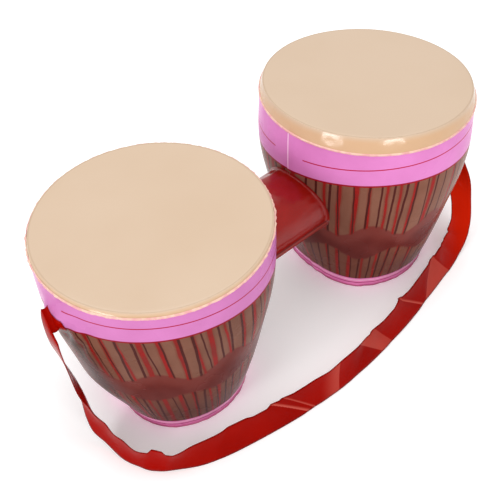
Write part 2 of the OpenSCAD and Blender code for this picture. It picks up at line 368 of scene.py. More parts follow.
# Place, width, height and power of each light
LIGHTS = {
    "overhead": ((0.1, 0.1, 2.6), 2.8, 2.8, 39),
    "window_left": ((-2.90, -0.45, 1.40), 0.9, 0.9, 28),
    "window_right": ((-0.85, -2.95, 1.40), 0.9, 0.5, 16),
}

# Mesh detail
AROUND = 240
LAP_COLUMNS = 5
WALL_ROWS = 90
SHOULDER_STEPS = 9
BRIDGE_ROWS = 40
BRIDGE_COLUMNS = 60
STRAP_STEPS = 24
STRAP_COLUMNS = 13
TAB_ROWS = 9
TAB_COLUMNS = 15
VALVE_AROUND = 64
TETHER_ROWS = 17
# Steps in which a place on a wall is found
SOLVE_STEPS = 8


# Small helpers
def smooth_step(value, low, high):
    part = min(max((value - low) / (high - low), 0), 1)
    return part * part * (3 - 2 * part)


def bump(value, half):
    """1 in the middle, falling smoothly to 0 at half on both sides."""
    return 1 - smooth_step(abs(value), 0, half)


def angle_between(a, b):
    return (a - b + pi) % (2 * pi) - pi


def ripple(angle, height, fineness, seed):
    """Smooth noise that runs on unbroken round a drum."""
    return noise.noise(Vector((fineness * cos(angle), fineness * sin(angle), height + seed)))


def new_object(name, data):
    """An object in the scene that shows the given data."""
    made = bpy.data.objects.new(name, data)
    bpy.context.scene.collection.objects.link(made)
    return made


def mesh_piece(name, points, faces, paint, body, nodes=(), values=None):
    """Makes a mesh from points in millimetres, paints it, and lets it ride on a body."""
    mesh = bpy.data.meshes.new(name)
    mesh.from_pydata([Vector(p) * MM for p in points], [], faces)
    for title, numbers in (values or {}).items():
        attribute = mesh.attributes.new(title, "FLOAT", "POINT")
        attribute.data.foreach_set("value", numbers)
    mesh.polygons.foreach_set("use_smooth", [True] * len(mesh.polygons))
    mesh.materials.append(paint)
    piece = new_object(name, mesh)
    if body:
        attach(piece, body)
    if nodes:
        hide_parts(*nodes)
    return piece


def grid_faces(rows, columns, closed=False, first=0):
    """Quads between the points of a grid, stored row by row."""
    last = columns if closed else columns - 1
    faces = []
    for row in range(rows - 1):
        for column in range(last):
            a = first + row * columns + column
            b = first + row * columns + (column + 1) % columns
            faces.append((a, b, b + columns, a + columns))
    return faces


def ring_faces(rows, columns):
    """Quads of a grid whose last row joins its first one."""
    faces = grid_faces(rows, columns)
    last = columns * (rows - 1)
    faces.extend((last + i, last + i + 1, i + 1, i) for i in range(columns - 1))
    return faces


def tube_faces(rows, columns):
    """Quads round a tube, with a face that closes each end."""
    faces = grid_faces(rows, columns, closed=True)
    faces.append(tuple(reversed(range(columns))))
    faces.append(tuple(range(columns * (rows - 1), columns * rows)))
    return faces


# The drums' shape
def wall_radius(z):
    part = z / WALL_H
    return BASE_R + (SEAM_R - BASE_R) * part + 4 * WALL_BOW * part * (1 - part)


def wall_slope(z):
    return (SEAM_R - BASE_R + 4 * WALL_BOW * (1 - 2 * z / WALL_H)) / WALL_H


def in_drum(side, x, y, z):
    """A point of a leaning drum's own frame in the frame of the whole object."""
    return Vector((
        side * DRUM_GAP / 2 + x * cos(LEAN) + side * z * sin(LEAN),
        y,
        z * cos(LEAN) - side * x * sin(LEAN),
    ))


def round_drum(side, angle, radius, z):
    """The same for a point given by its angle and radius."""
    return in_drum(side, radius * cos(angle), radius * sin(angle), z)


def floor_height(side, angle, radius, level):
    """Height in the drum's frame at which a point of the wall is at a level above the floor."""
    return (level + side * radius * cos(angle) * sin(LEAN)) / cos(LEAN)


def dent(side, angle, z):
    middle, half, depth, top = DENT[side]
    return depth * bump(angle_between(angle, middle), half) * (1 - smooth_step(z, 0, top))


def bulge(side, angle, z):
    return BULGE[side] * sin(angle - FRONT) ** 2 * bump(z - BULGE_Z, BULGE_HALF)


def draw_in(side, angle, z):
    """The film of a drum that isn't blown up quite as hard draws in at the top."""
    average, more = DRAW_IN[side]
    return (average + more * cos(angle)) * smooth_step(z, DRAW_LOW, WALL_H)


def weld_pucker(kind, side, angle, z, from_weld):
    """Small waves of the film, which die out away from a weld."""
    size, reach, length, fineness, seed = kind
    return size * exp(-from_weld / reach) * ripple(angle, z / length, fineness, seed + side)


def swelling(kind, along, below):
    """A soft patch of film that stands out near a tab."""
    size, half_w, half_h, down = kind
    return size * bump(along, half_w) * bump(below - down, half_h)


def tab_creases(side, angle, z):
    """The film bulges where a strap tab pulls at it, with slanting puckers below."""
    along = angle_between(angle, TAB_ANGLE[side]) * SEAM_R
    below = ANCHOR_Z - z
    wave = sin((along + PUCKER_SLANT * below) / PUCKER_LEN)
    return swelling(TAB_PULL, along, below) + swelling(TAB_PUCKER, along, below) * wave


def valve_weld(side, angle, z):
    """The valve's weld ring shows through the film as a slightly raised disc."""
    if side == LEFT:
        return 0
    away = hypot(angle_between(angle, VALVE_ANGLE) * wall_radius(VALVE_Z), z - VALVE_Z)
    return WELD_RING_RISE * (1 - smooth_step(away - WELD_RING_R, -WELD_RING_SOFT, WELD_RING_SOFT))


def wall_relief(side, angle, z):
    """How far the film of a wall stands out of its plain bowed form."""
    puckers = weld_pucker(FOOT_PUCKER, side, angle, z, max(z, 0))
    puckers += weld_pucker(HEAD_PUCKER, side, angle, z, WALL_H - z)
    size, length, fineness, seed = SWAY
    sway = size * ripple(angle, z / length, fineness, seed + side)
    free = smooth_step(z, *FOOT_QUIET) * smooth_step(WALL_H - z, *HEAD_QUIET)
    drawn = bulge(side, angle, z) - dent(side, angle, z) - draw_in(side, angle, z)
    return puckers + drawn + valve_weld(side, angle, z) + free * (sway + tab_creases(side, angle, z))


def wall_point(side, angle, z, out=0):
    return round_drum(side, angle, wall_radius(z) + wall_relief(side, angle, z) + out, z)


def wall_x(side, facing, y, z, out=0):
    """X at which the wall passes a point (y, z), on the side that faces out (1) or to the middle (-1)."""
    x = facing * side * SEAM_R
    for _ in range(SOLVE_STEPS):
        height = (z + side * x * sin(LEAN)) / cos(LEAN)
        radius = wall_radius(height) + wall_relief(side, atan2(y, x), height) + out
        x = facing * side * sqrt(max(radius * radius - y * y, 0))
    return in_drum(side, x, y, height).x


def print_line(line, angle):
    """How far below the head weld a print line runs at an angle round the drum."""
    mean, dip, lowest = line
    return mean + dip * cos(angle - lowest)


def band_edge(edge, angle):
    """Height of an edge of the dark band at an angle round the drum."""
    mean, wave, count, crest = edge
    return mean + wave * cos(count * (angle - crest))


# Materials
def linear(channel):
    """Light of a colour channel from 0 to 255, by the standard curve of screens."""
    value = channel / 255
    return value / 12.92 if value <= 0.04045 else ((value + 0.055) / 1.055) ** 2.4


def colour(red, green, blue):
    return (linear(red), linear(green), linear(blue), 1)


class Paint:
    """A principled material, built up from small steps that each return a socket."""

    def __init__(self, name, roughness=0.5, specular=0.5):
        self.material = bpy.data.materials.new(name)
        self.material.use_nodes = True
        self.tree = self.material.node_tree
        self.shader = self.tree.nodes["Principled BSDF"]
        self.shader.inputs["Roughness"].default_value = roughness
        self.shader.inputs["Specular IOR Level"].default_value = specular

    def put(self, socket, value):
        if isinstance(value, bpy.types.NodeSocket):
            self.tree.links.new(value, socket)
        else:
            socket.default_value = value

    def value(self, title):
        """A number that the mesh carries at each point."""
        node = self.tree.nodes.new("ShaderNodeAttribute")
        node.attribute_name = title
        return node.outputs["Fac"]

    def math(self, operation, *values):
        node = self.tree.nodes.new("ShaderNodeMath")
        node.operation = operation
        for socket, value in zip(node.inputs, values):
            self.put(socket, value)
        return node.outputs[0]

    def times(self, first, second):
        return self.math("MULTIPLY", first, second)

    def vector(self, x, y, z):
        node = self.tree.nodes.new("ShaderNodeCombineXYZ")
        for socket, value in zip(node.inputs, (x, y, z)):
            self.put(socket, value)
        return node.outputs[0]

    def noise(self, vector, scale, detail):
        node = self.tree.nodes.new("ShaderNodeTexNoise")
        self.put(node.inputs["Vector"], vector)
        node.inputs["Scale"].default_value = scale
        node.inputs["Detail"].default_value = detail
        return node.outputs["Fac"]

    def grain(self, scale, detail=2.0):
        """Noise in the object's own frame."""
        place = self.tree.nodes.new("ShaderNodeTexCoord").outputs["Object"]
        return self.noise(place, scale, detail)

    def chance(self, value, seed):
        """A random number that stays the same while value does."""
        node = self.tree.nodes.new("ShaderNodeTexWhiteNoise")
        node.noise_dimensions = "1D"
        self.put(node.inputs["W"], self.math("ADD", value, seed))
        return node.outputs["Value"]

    def span(self, value, low, high, first=0.0, last=1.0):
        """Goes smoothly from first to last while value goes from low to high."""
        node = self.tree.nodes.new("ShaderNodeMapRange")
        node.interpolation_type = "SMOOTHSTEP"
        for socket, given in zip(node.inputs, (value, low, high, first, last)):
            self.put(socket, given)
        return node.outputs[0]

    def cloud(self, grain, first=0.0, last=1.0):
        """Noise made to reach from first to last."""
        return self.span(grain, 0.3, 0.7, first, last)

    def until(self, value, limit, soft):
        """1 below a limit and 0 above it."""
        return self.span(value, limit - soft, limit + soft, 1.0, 0.0)

    def band(self, value, low, high, soft):
        """1 between two limits and 0 outside them."""
        return self.times(self.span(value, low - soft, low + soft), self.until(value, high, soft))

    def mix(self, share, first, second):
        """Mixes two colours, which such a node takes in its sockets 6 and 7 and gives in socket 2."""
        node = self.tree.nodes.new("ShaderNodeMix")
        node.data_type = "RGBA"
        self.put(node.inputs[0], share)
        self.put(node.inputs[6], first)
        self.put(node.inputs[7], second)
        return node.outputs[2]

    def clouded(self, first, second, scale, detail=3.0):
        """Two colours that run into each other in soft clouds."""
        return self.mix(self.cloud(self.grain(scale, detail)), first, second)

    def uneven_gloss(self, low, high, scale):
        """Varies the roughness a little, as on film that was handled."""
        self.put(self.shader.inputs["Roughness"], self.cloud(self.grain(scale, detail=3.0), low, high))

    def finish(self, base, grain=None, depth=0.0):
        """Puts the colour and, where given, a fine grain on the shader, with its depth in metres."""
        self.put(self.shader.inputs["Base Color"], base)
        if grain:
            node = self.tree.nodes.new("ShaderNodeBump")
            node.inputs["Distance"].default_value = depth
            self.put(node.inputs["Height"], grain)
            self.put(self.shader.inputs["Normal"], node.outputs[0])
        return self.material


def strokes(paint, kind, seed, turn, height):
    """Distance from the edge of a brush stroke that runs down the wall, one in each cell round it."""
    count, own_seed, thin, wide, slant = kind
    seed += own_seed
    cells = paint.times(turn, count)
    index = paint.math("FLOOR", cells)
    where = paint.chance(index, seed)
    width = paint.chance(index, seed + WIDTH_SEED)
    missing = paint.math("GREATER_THAN", paint.chance(index, seed + GAP_SEED), STROKES_KEPT)

    own_row = paint.times(index, WAVER_APART)
    way = paint.times(height, WAVER_RATE)
    waver = paint.math("SUBTRACT", paint.noise(paint.vector(own_row, way, seed), scale=1.0, detail=1.0), 0.5)
    tilt = paint.times(paint.math("SUBTRACT", width, UPRIGHT_WIDTH), slant)
    shift = paint.times(paint.math("SUBTRACT", height, STROKE_LEVEL), tilt)
    middle = paint.math("ADD", paint.span(where, 0.0, 1.0, *STROKE_PLACE), shift)
    middle = paint.math("ADD", middle, paint.times(waver, WAVER))
    away = paint.math("ABSOLUTE", paint.math("SUBTRACT", paint.math("FRACT", cells), middle))
    edge = paint.math("SUBTRACT", away, paint.span(width, 0.0, 1.0, thin, wide))
    return paint.math("ADD", edge, missing)


def brown_print(paint, side, seed, flat, cloud):
    """Brown film with red and dark strokes, which stop at a dark wavy band that carries painted soft
    highlights, strongest under its top.
    """
    rise = paint.value("rise")
    over = paint.value("over")
    under = paint.value("under")
    leaning = paint.math("MULTIPLY_ADD", rise, STROKE_LEAN[side] / CIRCLE, paint.value("turn"))
    red_edge = strokes(paint, RED_STROKES, seed, leaning, rise)
    dark_edge = strokes(paint, DARK_STROKES, seed, leaning, rise)
    outside = paint.math("MAXIMUM", paint.span(over, -FADE_TOP, 0.0), paint.span(under, -FADE_LOW, 0.0))
    inside = paint.times(paint.until(over, 0.0, soft=2.0), paint.until(under, 0.0, soft=3.0))
    # Painted highlight on the printed dark band: lighter towards its top and in soft patches
    band_sheen = paint.math("ADD", paint.span(over, *BAND_SHEEN, last=0.5), paint.noise(flat, scale=0.02, detail=3.0))
    band_and_sheen = paint.mix(paint.span(band_sheen, 0.45, 0.95), colour(97, 35, 31), colour(117, 53, 47))
    smear = paint.span(paint.noise(flat, scale=0.06, detail=3.0), 0.35, 0.65)
    red = paint.mix(smear, colour(148, 26, 23), colour(130, 34, 29))
    halo = paint.span(red_edge, 0.0, HALO_W, first=0.5, last=0.0)
    strokes_on_top = (
        (halo, colour(116, 44, 34)),
        (paint.until(red_edge, 0.0, soft=0.03), red),
        (paint.until(dark_edge, 0.0, soft=0.03), colour(74, 28, 24)),
    )
    printed = paint.mix(cloud, colour(131, 86, 69), colour(118, 75, 59))
    printed = paint.mix(paint.span(under, -3.0, 3.0, last=0.5), printed, colour(104, 48, 36))
    printed = paint.mix(inside, printed, band_and_sheen)
    for share, shade in strokes_on_top:
        printed = paint.mix(paint.times(share, outside), printed, shade)
    return printed


def pink_print(paint, side, cloud, printed):
    """The pink film below the head, with a painted highlight along the lap's edge, a red line and a dark
    line at its end.
    """
    turn = paint.value("turn")
    below = paint.value("pink")
    pink = paint.mix(cloud, colour(218, 132, 195), colour(211, 126, 187))
    # Painted highlight along the step where the film laps over itself
    pink = paint.mix(paint.span(turn, *LAP_HIGHLIGHT, first=0.8, last=0.0), pink, colour(252, 208, 236))
    printed = paint.mix(paint.until(below, 0.0, soft=0.5), printed, pink)
    printed = paint.mix(paint.band(below, *PINK_LINE, soft=0.5), printed, colour(150, 12, 30))
    break_turn, break_half = LINE_BREAK[side]
    from_break = paint.math("PINGPONG", paint.math("SUBTRACT", turn, break_turn), 0.5)
    unbroken = paint.span(from_break, break_half, break_half + BREAK_SOFT)
    line = paint.band(paint.value("line"), -RED_LINE_HALF, RED_LINE_HALF, soft=0.3)
    return paint.mix(paint.times(unbroken, line), printed, colour(176, 10, 40))


def foot_print(paint, cloud, printed):
    """The pink band at the foot, with a pale and a dark line on it; its pink is painted lighter than the
    top's to make up for the shade the foot stands in.
    """
    rise = paint.value("rise")
    # Painted light: this pink is lighter than the top's to offset the shade at the foot
    pink = paint.mix(cloud, colour(250, 148, 206), colour(238, 132, 194))
    printed = paint.mix(paint.until(rise, FOOT_BAND, soft=0.6), printed, pink)
    printed = paint.mix(paint.band(rise, *FOOT_PALE, soft=0.4), printed, colour(255, 206, 230))
    return paint.mix(paint.band(rise, *FOOT_DARK, soft=0.4), printed, colour(176, 52, 106))


def wall_paint(side):
    """Printed film: pink at the top and the foot, brown between, with strokes and a dark wavy band; painted
    shade darkens the left drum's print.
    """
    paint = Paint(f"printed_vinyl_{NAMES[side]}", specular=0.04)
    seed = 3.0 + side
    flat = paint.vector(paint.times(paint.value("turn"), CIRCLE), paint.value("rise"), seed)
    cloud = paint.cloud(paint.noise(flat, scale=0.025, detail=4.0))
    printed = brown_print(paint, side, seed, flat, cloud)
    printed = pink_print(paint, side, cloud, printed)
    # Painted shade over a drum's whole print, before the foot band goes on
    printed = paint.mix(PAINTED_DRUM_SHADE[side], printed, colour(0, 0, 0))
    printed = foot_print(paint, cloud, printed)
    paint.uneven_gloss(low=0.2, high=0.3, scale=25.0)
    return paint.finish(printed, paint.grain(scale=350.0), depth=0.00003)


def head_paint():
    """Beige film, peach where it rolls over the shoulder, with faint painted shade along the crease."""
    paint = Paint("head_vinyl")
    inside = paint.value("rim")
    base = paint.clouded(colour(199, 175, 151), colour(196, 171, 146), scale=7.0)
    base = paint.mix(paint.span(inside, -PEACH_W, 0.0, first=1.0, last=0.0), base, colour(200, 162, 126))
    # Painted shade: a faint darker line in the crease
    line = paint.band(inside, -CREASE_SHADE_HALF, CREASE_SHADE_HALF, soft=CREASE_SHADE_HALF)
    base = paint.mix(paint.times(line, 0.25), base, colour(140, 108, 76))
    paint.uneven_gloss(low=0.12, high=0.2, scale=18.0)
    return paint.finish(base, paint.grain(scale=420.0), depth=0.00004)


def lip_paint():
    """The trimmed weld margin: film that went pale and rough where it was melted."""
    paint = Paint("weld_lip", roughness=0.4)
    grain = paint.grain(scale=160.0, detail=4.0)
    base = paint.mix(paint.cloud(grain), colour(226, 190, 167), colour(216, 152, 150))
    return paint.finish(base, grain, depth=0.0004)


def foot_paint():
    """Plain pink film."""
    paint = Paint("foot_vinyl", roughness=0.3)
    base = paint.clouded(colour(212, 124, 160), colour(194, 104, 140), scale=14.0)
    return paint.finish(base, paint.grain(scale=300.0), depth=0.0001)


def bridge_paint():
    """Dark red film, darkest along the side welds and paler on the flanges, where it is pressed flat; a
    faint painted highlight lies on its margins at the walls.
    """
    paint = Paint("bridge_vinyl", specular=0.3)
    weld = paint.value("weld")
    base = paint.clouded(colour(146, 21, 14), colour(126, 12, 7), scale=16.0, detail=4.0)
    base = paint.mix(paint.span(weld, 0.0, WELD_DARK_W, first=0.55, last=0.0), base, colour(88, 12, 12))
    base = paint.mix(paint.until(weld, -FLANGE_PALE, soft=0.4), base, colour(150, 62, 56))
    # A faint painted highlight on the margins where the panel lies on the walls
    margin = paint.span(paint.value("end"), -0.6, 0.6, first=0.1, last=0.0)
    base = paint.mix(margin, base, colour(172, 52, 46))
    paint.uneven_gloss(low=0.15, high=0.26, scale=40.0)
    return paint.finish(base, paint.grain(scale=120.0, detail=3.0), depth=0.0003)


def fold_highlight(paint, first, second):
    """Painted highlight between two slanted folds, going from the first one's strength to the second one's.
    """
    past = []
    for place, slant, _ in (first, second):
        line = paint.math("MULTIPLY_ADD", paint.value("across"), slant, place)
        past.append(paint.math("SUBTRACT", paint.value("along"), line))
    started = paint.span(past[0], -0.5, 0.5)
    between = paint.times(started, paint.until(past[1], 0.0, soft=0.5))
    part = paint.math("DIVIDE", past[0], paint.math("SUBTRACT", past[0], past[1]))
    return paint.times(between, paint.span(part, 0.0, 1.0, first[2], second[2]))


def strap_paint():
    """Glossy red film with soft clouds, painted highlights on its folds and a fine dark edge."""
    paint = Paint("strap_vinyl", specular=0.015)
    along = paint.value("along")
    base = paint.clouded(colour(146, 12, 4), colour(130, 8, 3), scale=12.0, detail=4.0)
    # Painted light: an orange-red glow where light shines through the film of the right end
    base = paint.mix(paint.span(along, *BACKLIT_RIGHT_END), base, colour(184, 26, 3))
    # Painted light: a brighter red on the left part and on the tabs, which have no place along the strap
    base = paint.mix(paint.span(along, *LIT_LEFT_PART, first=1.0, last=0.0), base, colour(150, 8, 1))
    # Painted highlights where the folded film's facets catch the light
    for first, second in FOLD_HIGHLIGHTS:
        base = paint.mix(fold_highlight(paint, first, second), base, colour(214, 104, 90))
    from_middle = paint.math("ABSOLUTE", paint.value("across"))
    edge = paint.span(from_middle, STRAP_W / 2 - EDGE_START, STRAP_W / 2 - EDGE_FULL, last=0.6)
    base = paint.mix(edge, base, colour(96, 10, 7))
    paint.uneven_gloss(low=0.14, high=0.24, scale=60.0)
    return paint.finish(base, paint.grain(scale=90.0, detail=3.0), depth=0.0004)


def valve_paint():
    """Soft white moulded vinyl, slightly yellowed and faintly pebbled."""
    paint = Paint("valve_vinyl", roughness=0.35)
    paint.shader.inputs["Subsurface Weight"].default_value = 0.1
    paint.shader.inputs["Subsurface Radius"].default_value = (0.002, 0.002, 0.0015)
    base = paint.clouded(colour(240, 239, 234), colour(228, 226, 216), scale=150.0)
    return paint.finish(base, paint.grain(scale=900.0), depth=0.00005)


# Camera
def place_camera():
    data = bpy.data.cameras.new("photo_camera")
    data.sensor_width = SENSOR_MM
    data.lens = SENSOR_MM * FOCAL_PIXELS / IMAGE_SIZE
    data.clip_start = CLIP_START
    camera = new_object("photo_camera", data)
    level = cos(CAMERA_ELEVATION)
    back = Vector((
        sin(CAMERA_AZIMUTH) * level,
        -cos(CAMERA_AZIMUTH) * level,
        sin(CAMERA_ELEVATION),
    ))
    right = Matrix.Rotation(CAMERA_ROLL, 3, back) @ Vector((0, 0, 1)).cross(back).normalized()
    up = back.cross(right)
    axes = Matrix((right, up, back)).transposed().to_4x4()
    camera.matrix_world = Matrix.Translation(CAMERA_TARGET + back * CAMERA_DISTANCE) @ axes
    bpy.context.scene.camera = camera


# Strap
def spline(step, part):
    """A point of the smooth curve through the route's points (part 0) or through its directions (part 1)."""
    last = len(ROUTE) - 1
    i = min(step // STRAP_STEPS, last - 1)
    s = step / STRAP_STEPS - i
    a = Vector(ROUTE[max(i - 1, 0)][part])
    b = Vector(ROUTE[i][part])
    c = Vector(ROUTE[i + 1][part])
    d = Vector(ROUTE[min(i + 2, last)][part])
    straight = (c - a) / 2
    bend = a - 2.5 * b + 2 * c - d / 2
    twist = 1.5 * (b - c) + (d - a) / 2
    return b + s * straight + s * s * bend + s ** 3 * twist


def crease_height(along, across):
    """How far the strap's film stands out of its smooth curve."""
    height = 0
    for place, rise, steep, flat, slant in FOLDS:
        past = along - place - slant * across
        height += rise * max(1 - (past / flat if past > 0 else -past / steep), 0)
    return height


def upper_edge(along, part):
    """How far the strap's upper edge is crumpled up, fading out down to the lower edge."""
    rise = 0
    for place, half, height in NICKS:
        rise += height * (1 - smooth_step(abs(along - place), half / 2, half))
    return rise * max(0.5 - part, 0) ** 2


def make_strap(paint):
    rings = (len(ROUTE) - 1) * STRAP_STEPS + 1
    middle = [spline(step, 0) for step in range(rings)]
    points = []
    values = {"across": [], "along": []}
    along = 0
    for step in range(rings):
        ahead = (middle[min(step + 1, rings - 1)] - middle[max(step - 1, 0)]).normalized()
        along += (middle[step] - middle[step - 1]).length if step else 0
        across = spline(step, 1).normalized()
        through = ahead.cross(across).normalized()
        from_end = min(step, rings - 1 - step) / (GATHER_SPANS * STRAP_STEPS)
        width = GATHER_W + (STRAP_W - GATHER_W) * min(from_end, 1)
        loose = smooth_step(from_end, *FOLDS_START)
        for face in (1, -1):
            for column in range(STRAP_COLUMNS):
                part = face * (column / (STRAP_COLUMNS - 1) - 0.5)
                curl = CURL * (1 - 8 * part * part)
                free = LOWER_SHARE + (1 - LOWER_SHARE) * (0.5 - part)
                lift = loose * (free * crease_height(along, part * width) + curl) + face * STRAP_T / 2
                reach = part * width - loose * upper_edge(along, part)
                points.append(middle[step] + across * reach + through * lift)
                values["across"].append(part * STRAP_W)
                values["along"].append(along)
    faces = tube_faces(rings, 2 * STRAP_COLUMNS)
    piece = mesh_piece("strap", points, faces, paint, "strap", ["strap_band"], values)


# Drums
def make_wall(side):
    """The printed film, which runs once round and laps over its own last edge."""
    lap = LAP_W / SEAM_R
    columns = AROUND + LAP_COLUMNS
    points = []
    values = {"turn": [], "rise": [], "pink": [], "line": [], "over": [], "under": []}
    for row in range(WALL_ROWS + 1):
        share = row / WALL_ROWS
        for column in range(columns):
            turned = (2 * pi + lap) * column / (columns - 1)
            angle = LAP_ANGLE[side] + turned - lap / 2
            out = LAP_RISE * (1 - smooth_step(turned, lap, 2 * lap))
            low = floor_height(side, angle, BASE_R, FILM)
            z = low + (WALL_H - low) * share
            points.append(wall_point(side, angle, z, out))
            values["turn"].append(turned / (2 * pi))
            values["rise"].append(z - low)
            values["pink"].append(WALL_H - z - print_line(PINK_END[side], angle))
            values["line"].append(WALL_H - z - print_line(RED_LINE[side], angle))
            values["over"].append(z - band_edge(BAND_TOP[side], angle))
            values["under"].append(band_edge(BAND_LOW[side], angle) - z)
    mesh_piece(f"wall_film_{NAMES[side]}", points, grid_faces(WALL_ROWS + 1, columns), wall_paint(side),
               "drums", [f"wall_{NAMES[side]}"], values)


def head_height(side, angle, radius):
    """Height of a head's flat film above the weld."""
    lean = radius / SEAM_R * cos(angle - FRONT)
    size, length, seed = HEAD_WAVE
    place = Vector((radius * cos(angle), radius * sin(angle), seed * side))
    wave = size * noise.noise(place / length)
    return BACK_RISE[side] + FRONT_LIFT[side] * (1 + lean) / 2 + wave


def crease_inset(side, angle):
    """How far inside the weld a head's flat part ends: least at the back."""
    front = (1 + cos(angle - FRONT)) / 2
    return CREASE_IN[side] * (CREASE_BACK + (1 - CREASE_BACK) * front * front)


def head_profile(side, angle):
    """Pairs of radius and share of the head's height, from the middle out over the shoulder."""
    inset = crease_inset(side, angle)
    crease = SEAM_R - inset
    profile = [(crease * share, 1) for share in HEAD_RINGS]
    profile += [(crease + out, share) for out, share in GROOVE]
    for step in range(SHOULDER_STEPS + 1):
        turn = pi / 2 * step / SHOULDER_STEPS
        out = SHOULDER_START + (inset - SHOULDER_START) * sin(turn) ** SHOULDER_POWER
        profile.append((crease + out, SHOULDER_TOP * cos(turn) ** SHOULDER_POWER))
    return profile


def make_head(side, paint):
    angles = [2 * pi * column / AROUND for column in range(AROUND)]
    rows = list(zip(*[head_profile(side, angle) for angle in angles]))
    points = []
    rims = []
    for row in rows:
        for angle, (radius, share) in zip(angles, row):
            height = head_height(side, angle, radius)
            pucker = SHOULDER_PUCKER * bump(share - 0.5, 0.5) * ripple(angle, share, SHOULDER_FINE, side)
            ring = radius + pucker - draw_in(side, angle, WALL_H) * radius / SEAM_R
            points.append(round_drum(side, angle, ring, WALL_H + share * height))
            rims.append(SEAM_R - crease_inset(side, angle) - radius)
    faces = grid_faces(len(rows), AROUND, closed=True)
    faces.append(tuple(reversed(range(AROUND))))
    mesh_piece(f"head_film_{NAMES[side]}", points, faces, paint, "drums",
               [f"head_{NAMES[side]}"], {"rim": rims})


def lip_wave(side, angle, kind):
    size, fineness, seed = kind
    return size * ripple(angle, 0, fineness, seed * side)


def make_lip(side, paint):
    """The ragged trimmed margin of the weld between a head and its wall."""
    columns = 2 * AROUND
    points = []
    for column in range(columns):
        angle = 2 * pi * column / columns
        ragged = lip_wave(side, angle, LIP_COARSE) + lip_wave(side, angle, LIP_FINE)
        width = HEAD_MARGIN * max(LIP_MEAN + RAGGED[side] * ragged, LIP_LEAST)
        droop = lip_wave(side, angle, LIP_DROOP)
        for out, share, up, loose in LIP_SECTION:
            ring = SEAM_R + out + share * width - draw_in(side, angle, WALL_H)
            points.append(round_drum(side, angle, ring, WALL_H + up + loose * droop))
    faces = ring_faces(columns, len(LIP_SECTION))
    mesh_piece(f"head_lip_{NAMES[side]}", points, faces, paint, "drums")


def make_base(side, paint):
    """The film disc under a drum, with the margin of its weld."""
    points = []
    for column in range(AROUND):
        angle = 2 * pi * column / AROUND
        z = floor_height(side, angle, BASE_R, FILM)
        margin = BASE_MARGIN * (1 + BASE_RAGGED * ripple(angle, 0, BASE_FINE, side))
        for share, level in BASE_SECTION:
            point = wall_point(side, angle, z, margin * share)
            points.append((point.x, point.y, level * FILM * 2))
    middle = len(points)
    points.append((side * DRUM_GAP / 2, 0, 0))
    count = len(BASE_SECTION)
    faces = ring_faces(AROUND, count)
    inner = [count * column + count - 1 for column in range(AROUND)]
    faces.extend((inner[c], inner[(c + 1) % AROUND], middle) for c in range(AROUND))
    mesh_piece(f"base_film_{NAMES[side]}", points, faces, paint, "drums",
               [f"base_{NAMES[side]}"])


# Bridge
def bridge_rib(up, share, grow):
    """A point of the bridge's section, from its front weld over to its back weld."""
    reach = BRIDGE_RISE if up else BRIDGE_DROP
    radius = (BRIDGE_HALF_W ** 2 + reach ** 2) / (2 * reach)
    tilt = asin((reach - radius) / radius)
    angle = pi + tilt - (pi + 2 * tilt) * share
    y = (radius + grow) * cos(angle)
    z = reach - radius + (radius + grow) * sin(angle)
    return y, z if up else -z


def bridge_swell(up, t, share, x, from_end, from_weld):
    """How far a panel's film stands out of its plain section."""
    size, reach, fine_round, fine_along, onset = GATHER
    place = Vector((share * fine_round, t * fine_along, BRIDGE_SEED[up]))
    gathered = size * exp(-from_end / reach) * noise.noise(place)
    full = BRIDGE_FULL * sin(pi * t) * sin(pi * share)
    swell = smooth_step(from_end, 0, onset) * (gathered + full)
    size, reach, length, fine_round, onset = SIDE_PUCKER
    place = Vector((x / length, share * fine_round, BRIDGE_SEED[up] + PUCKER_SEED))
    pucker = size * exp(-from_weld / reach) * noise.noise(place)
    return swell + smooth_step(from_weld, 0, onset) * pucker


def flange_height(up, x, y):
    level = FLANGE_LEVEL if up else -FLANGE_LEVEL
    size, length, seed = FLANGE_WAVE
    return level + size * noise.noise(Vector((x / length, y, seed)))


def make_bridge(up, paint):
    """One panel of the air bridge: margins on both walls, the puckered tube and its side flanges."""
    edge = [BRIDGE_MARGIN, BRIDGE_MARGIN / 2]
    rows = [(0, out) for out in edge]
    rows += [(row / BRIDGE_ROWS, 0) for row in range(BRIDGE_ROWS + 1)]
    rows += [(1, out) for out in reversed(edge)]
    shares = [0] + [column / BRIDGE_COLUMNS for column in range(BRIDGE_COLUMNS + 1)] + [1]
    points = []
    values = {"weld": [], "end": []}
    for t, margin in rows:
        for column, share in enumerate(shares):
            y, z = bridge_rib(up, share, margin)
            start = wall_x(LEFT, -1, y, BRIDGE_Z + z, BRIDGE_CLEAR)
            length = wall_x(RIGHT, -1, y, BRIDGE_Z + z, BRIDGE_CLEAR) - start
            x = start + length * t
            from_end = min(t, 1 - t) * length
            weld = min(share, 1 - share) * BRIDGE_ROUND
            grow = 0 if margin else bridge_swell(up, t, share, x, from_end, weld)
            y, z = bridge_rib(up, share, margin + grow)
            if column in (0, len(shares) - 1):
                reach = 0 if margin or from_end < FLANGE_GAP else BRIDGE_FLANGE
                y += reach if column else -reach
                z = flange_height(up, x, y)
                weld = -reach
            points.append((x, y, BRIDGE_Z + z))
            values["weld"].append(weld)
            values["end"].append(-margin if margin else from_end)
    faces = grid_faces(len(rows), len(shares))
    name = "upper" if up else "lower"
    mesh_piece(f"bridge_film_{name}", points, faces, paint, "drums",
               [f"bridge_{name}"], values)


